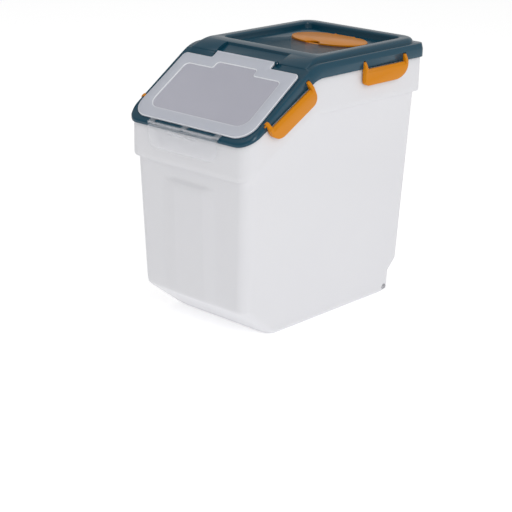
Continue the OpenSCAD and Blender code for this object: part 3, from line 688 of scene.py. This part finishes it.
@dataclass
class FlipLid:
    """The frosted flip lid with its window, hinge tab, pins, front knuckles and the rod for the front latch, with a
    painted highlight on its rounded edges.
    """
    thick: float = 3.0
    half_w: float = 109.0
    front: float = 5.4
    shoulder: float = 130.0
    hinge: float = 142.5
    tab_half_w: float = 54.0
    border: float = 19.0
    window_step: float = 1.0
    pin_r: float = 1.2
    pin_len: float = 3.0
    knuckle_w: float = 8.0
    rod_r: float = 1.0
    rod_half: float = 65.0
    rod_y: float = -185.25
    rod_h: float = 289.5
    slope: Slope = field(default_factory=Slope)

    def edge(self, inset: float) -> np.ndarray:
        """Outline of the lid, drawn in by a small distance."""
        w, t = self.half_w, self.tab_half_w
        corners = [(-w, self.front), (w, self.front), (w - 2, self.shoulder), (t, self.shoulder), (t, self.hinge),
                   (-t, self.hinge), (-t, self.shoulder), (2 - w, self.shoulder)]
        return polygon_loop(corners, [26, 26, 7, 3, 0.6, 0.6, 3, 7], inset, 9)

    def window(self, grow: float) -> np.ndarray:
        """Outline of the window, let out by a small distance, with as many points as the lid's edge."""
        b = self.border
        w, t = self.half_w - b, self.tab_half_w - b * 0.9
        low, high, top = self.front + b, self.shoulder - b, self.hinge - b
        corners = [(-w, low), (w, low), (w - 2, high), (t, high), (t, top), (-t, top), (-t, high), (2 - w, high)]
        return polygon_loop(corners, [16.5, 16.5, 7, 4, 5, 5, 4, 7], -grow, 9)

    def arm(self) -> list[np.ndarray]:
        """Rings of the arm from the lid's front edge to the rod, along x from its middle, in the bin's frame."""
        angle = math.radians(self.slope.angle)
        y, z = self.rod_y - self.slope.rim.front_y, self.rod_h - self.slope.height
        s, n = y * math.cos(angle) + z * math.sin(angle), z * math.cos(angle) - y * math.sin(angle)
        corners = [(s, n - 1.6), (self.front, 0.1 - self.thick), (self.front + 4, 0.1 - self.thick),
                   (self.front + 4, -0.1), (self.front, -0.1), (s, n + 1.6)]
        rings = []
        for x, inset in ((-0.5, 0.3), (-0.46, 0.0), (0.46, 0.0), (0.5, 0.3)):
            loop = polygon_loop(corners, [0.8, 0.2, 0.2, 0.2, 0.8, 0.8], inset, 4)
            rings.append(np.column_stack([np.full(len(loop), x * self.knuckle_w), loop]))
        return rings

    def build(self) -> bpy.types.Object:
        """Makes the flip lid."""
        t, b = self.thick, self.border
        rows = [(0.7, -t), (0.2, 0.2 - t), (0, 0.7 - t), (0, -0.9), (0.25, -0.3), (0.9, 0)]
        under = lift(self.window(0.0), -t)
        rim = [lift(self.edge(inset), z) for inset, z in rows]
        lip = [lift(self.window(grow), z) for grow, z in ((1.2, 0.0), (0.4, -0.25), (0.0, -self.window_step))]
        place = self.slope.place()
        piece = Piece("flip_lid_shell")
        points, faces = skin(np.array([under, *rim, *lip]))
        size = len(under)
        walls = faces[:-2]
        # Rows on the outer top rounding and on the window's lip take the fourth material, a painted highlight along
        # those edges.
        painted_highlight_rows = {4, 5, 7, 8}
        for row in range(len(walls) // size):
            piece.faces += walls[row * size:(row + 1) * size]
            piece.slots += [3 if row in painted_highlight_rows else 0] * size
        piece.points.append(self.placed(points))
        piece.count += len(points)
        piece.add(self.placed(under), [list(range(size))[::-1]], 1)
        piece.add(self.placed(lip[-1]), [list(range(size))], 1)
        w, hinge = self.tab_half_w, self.hinge
        piece.loft(rod_rings(-w, w, hinge, -t / 2, t / 2, 0.3), place)
        piece.loft(rod_rings(-w - self.pin_len, w + self.pin_len, hinge, -t / 2, self.pin_r), place)
        for x in (self.knuckle_w / 2 - 66.0, 0.0, 66.0 - self.knuckle_w / 2):
            piece.loft(self.arm(), place @ Matrix.Translation((x, 0, 0)), 2)
            piece.loft(rod_rings(x - self.knuckle_w / 2, x + self.knuckle_w / 2, self.rod_y, self.rod_h, 1.8), slot=2)
        piece.loft(rod_rings(-self.rod_half, self.rod_half, self.rod_y, self.rod_h, self.rod_r), slot=2)
        # The fourth material is the painted highlight for the rounded edges.
        finishes = [FROSTED.build(), WINDOW.build(), CLEAR.build(), PAINTED_HIGHLIGHT.build()]
        return piece.build("flip", finishes, ["flip_lid"], "frosted_plastic")

    def placed(self, points: np.ndarray) -> np.ndarray:
        """Moves points from the slope's frame to the bin's."""
        m = np.array(self.slope.place())
        return points @ m[:3, :3].T + m[:3, 3]


@dataclass
class FrontLatch:
    """The frosted flap that hangs from the flip lid's front, with its barrel and snap ridge."""
    half_w: float = 66.0
    foot: float = 47.0
    foot_r: float = 14.0
    drop: float = 33.5
    thick: float = 2.2
    proud: float = 4.5
    rod_y: float = -185.25
    rod_h: float = 289.5
    barrel_r: float = 2.0
    knuckle: float = 8.3
    notch: float = 2.4
    ridge_half: float = 24.0
    rim: Rim = RIM

    def outline(self, inset: float) -> np.ndarray:
        """Outline of the flap's face with its three notches, drawn in by a distance: x across and y up."""
        side, top, low = self.foot + self.foot_r, 1.0, -self.notch
        wide = side + (self.half_w - side) * (low + self.drop) / (top + self.drop)
        outer, inner = self.half_w - self.knuckle, self.knuckle / 2
        right = [(wide, low), (outer, low), (outer, top), (inner, top), (inner, low)]
        left = [(-x, y) for x, y in right[::-1]]
        corners = [(-side, -self.drop), (side, -self.drop), *right, *left]
        radii = [self.foot_r, self.foot_r, 0.8, 0.5, 0.8, 0.8, 0.5, 0.5, 0.8, 0.8, 0.5, 0.8]
        return polygon_loop(corners, radii, inset, 10)

    def build(self) -> bpy.types.Object:
        """Makes the front latch."""
        face = self.rim.front_y - self.proud
        rows = [(0.4, 0), (0.1, 0.1), (0, 0.4), (0, self.thick - 0.4), (0.1, self.thick - 0.1), (0.4, self.thick)]
        rings = []
        for inset, depth in rows:
            loop = self.outline(inset)
            rings.append(np.column_stack([loop[:, 0], np.full(len(loop), face + depth), loop[:, 1] + self.rod_h]))
        piece = Piece("front_latch_flap").loft(rings)
        outer, inner = self.half_w - self.knuckle, self.knuckle / 2
        for x0, x1 in ((-outer, -inner), (inner, outer)):
            piece.loft(rod_rings(x0, x1, self.rod_y, self.rod_h, self.barrel_r))
        top = self.rim.front_h - 1.6
        piece.loft(block_rings((-self.ridge_half, self.ridge_half), (face + 1, face + self.proud - 0.3),
                               (top - 3, top), 0.5))
        return piece.build("front_latch", [CLEAR.build()], ["front_latch"], "frosted_plastic")


@dataclass(frozen=True)
class Softened:
    """A solid that keeps its own shape and gets rounded edges and a finish."""
    node: str
    body: str
    finish: MouldedPlastic | DrawnSteel
    slot: str
    width: float = 0.5
    limit: float = 24.0

    def build(self) -> bpy.types.Object:
        """Makes the piece that stands for the solid."""
        obj = softened(self.node, self.width, 2, self.limit)
        return dress(obj, self.body, [self.finish.build()], [self.node], self.slot, 35.0)


SOFTENED = [
    Softened("main_lid", "lid", TEAL, "teal_plastic", 0.6),
    Softened("main_lid_seal", "lid", SILICONE, "silicone", 0.2),
    Softened("flip_lid_seal", "flip", SILICONE, "silicone", 0.4),
    Softened("latch_right_slope", "latch_right_slope", ORANGE, "orange_plastic", 0.5),
    Softened("latch_right_flat", "latch_right_flat", ORANGE, "orange_plastic", 0.5),
    Softened("latch_left_slope", "latch_left_slope", ORANGE, "orange_plastic", 0.5),
    Softened("latch_left_flat", "latch_left_flat", ORANGE, "orange_plastic", 0.5),
    Softened("desiccant_cup", "lid", ORANGE, "orange_plastic", 0.3),
    Softened("desiccant_cover", "cover", ORANGE, "orange_plastic", 0.5),
    Softened("wheel_axle", "bin", STEEL, "steel", 0.3),
    Softened("wheel_left", "wheel_left", WHEEL, "wheel_plastic", 0.8),
    Softened("wheel_right", "wheel_right", WHEEL, "wheel_plastic", 0.8),
    Softened("axle_caps", "bin", STEEL, "steel", 0.2),
]


@dataclass
class Studio:
    """Camera, soft lights and pale floor."""
    eye: tuple[float, float, float] = (1325.98, -1469.69, 752.31)
    yaw: float = 42.8026
    pitch: float = 19.0640
    roll: float = 0.9117
    focal_px: float = 1434.527
    frame_px: float = 512.0
    sensor_mm: float = 36.0
    sky: float = 0.58
    lean: tuple[float, float, float] = (0.1, 0.12, 0.0)
    floor_glow: float = 0.38

    def camera(self) -> None:
        """Places the camera at the photograph's viewing angle."""
        yaw, pitch, roll = (math.radians(a) for a in (self.yaw, self.pitch, self.roll))
        ahead = Vector((-math.sin(yaw) * math.cos(pitch), math.cos(yaw) * math.cos(pitch), -math.sin(pitch)))
        level = Vector((math.cos(yaw), math.sin(yaw), 0))
        upright = level.cross(ahead)
        right = math.cos(roll) * level + math.sin(roll) * upright
        up = math.cos(roll) * upright - math.sin(roll) * level
        data = bpy.data.cameras.new("camera")
        data.sensor_width = self.sensor_mm
        data.lens = self.focal_px * self.sensor_mm / self.frame_px
        data.clip_end = 50
        obj = bpy.data.objects.new("camera", data)
        bpy.context.scene.collection.objects.link(obj)
        turn = Matrix((right, up, -ahead)).transposed().to_4x4()
        obj.matrix_world = Matrix.Translation(Vector(self.eye) * MM) @ turn
        bpy.context.scene.camera = obj

    def light(self, name: str, place: tuple, size: float, power: float) -> None:
        """Adds a square lamp that faces the bin."""
        data = bpy.data.lights.new(name, "AREA")
        data.size = size
        data.energy = power
        obj = bpy.data.objects.new(name, data)
        bpy.context.scene.collection.objects.link(obj)
        at = Vector(place)
        aim = (Vector((0, 0, 0.2)) - at).to_track_quat("-Z", "Y").to_matrix().to_4x4()
        obj.matrix_world = Matrix.Translation(at) @ aim

    def floor(self) -> None:
        """Adds the pale floor."""
        mesh = bpy.data.meshes.new("floor")
        s = 8.0
        mesh.from_pydata([(-s, -s, 0), (s, -s, 0), (s, s, 0), (-s, s, 0)], [], [(0, 1, 2, 3)])
        obj = bpy.data.objects.new("floor", mesh)
        bpy.context.scene.collection.objects.link(obj)
        material = bpy.data.materials.new("pale_floor")
        material.use_nodes = True
        shader = material.node_tree.nodes["Principled BSDF"]
        shader.inputs["Base Color"].default_value = (0.95, 0.95, 0.95, 1)
        shader.inputs["Roughness"].default_value = 0.9
        shader.inputs["Specular IOR Level"].default_value = 0.0
        shader.inputs["Emission Color"].default_value = (1, 1, 1, 1)
        shader.inputs["Emission Strength"].default_value = self.floor_glow
        mesh.materials.append(material)

    def build(self) -> None:
        """Sets up the whole studio."""
        scene = bpy.context.scene
        scene.view_settings.view_transform = "Standard"
        world = bpy.data.worlds.new("studio")
        scene.world = world
        world.use_nodes = True
        tree = world.node_tree
        back = tree.nodes["Background"]
        back.inputs["Color"].default_value = (1, 1, 1, 1)
        place, lean = tree.nodes.new("ShaderNodeTexCoord"), tree.nodes.new("ShaderNodeVectorMath")
        lean.operation = "DOT_PRODUCT"
        lean.inputs[1].default_value = self.lean
        lift_up = tree.nodes.new("ShaderNodeMath")
        lift_up.operation = "ADD"
        lift_up.inputs[1].default_value = self.sky
        wire(tree, place.outputs["Generated"], lean.inputs[0])
        wire(tree, lean.outputs["Value"], lift_up.inputs[0])
        wire(tree, lift_up.outputs["Value"], back.inputs["Strength"])
        self.camera()
        self.floor()
        self.light("key", (2.6, -1.5, 1.9), 1.1, 22)
        self.light("top", (-0.4, -0.4, 3.0), 2.0, 12)


def main() -> None:
    """Builds the studio and each piece of the bin in order."""
    logging.basicConfig(level=logging.INFO, format="%(message)s")
    Studio().build()
    makers = [Tub(), FlipLid(), FrontLatch(), *SOFTENED]
    for maker in makers:
        maker.build()


if __name__ == "__main__":
    main()
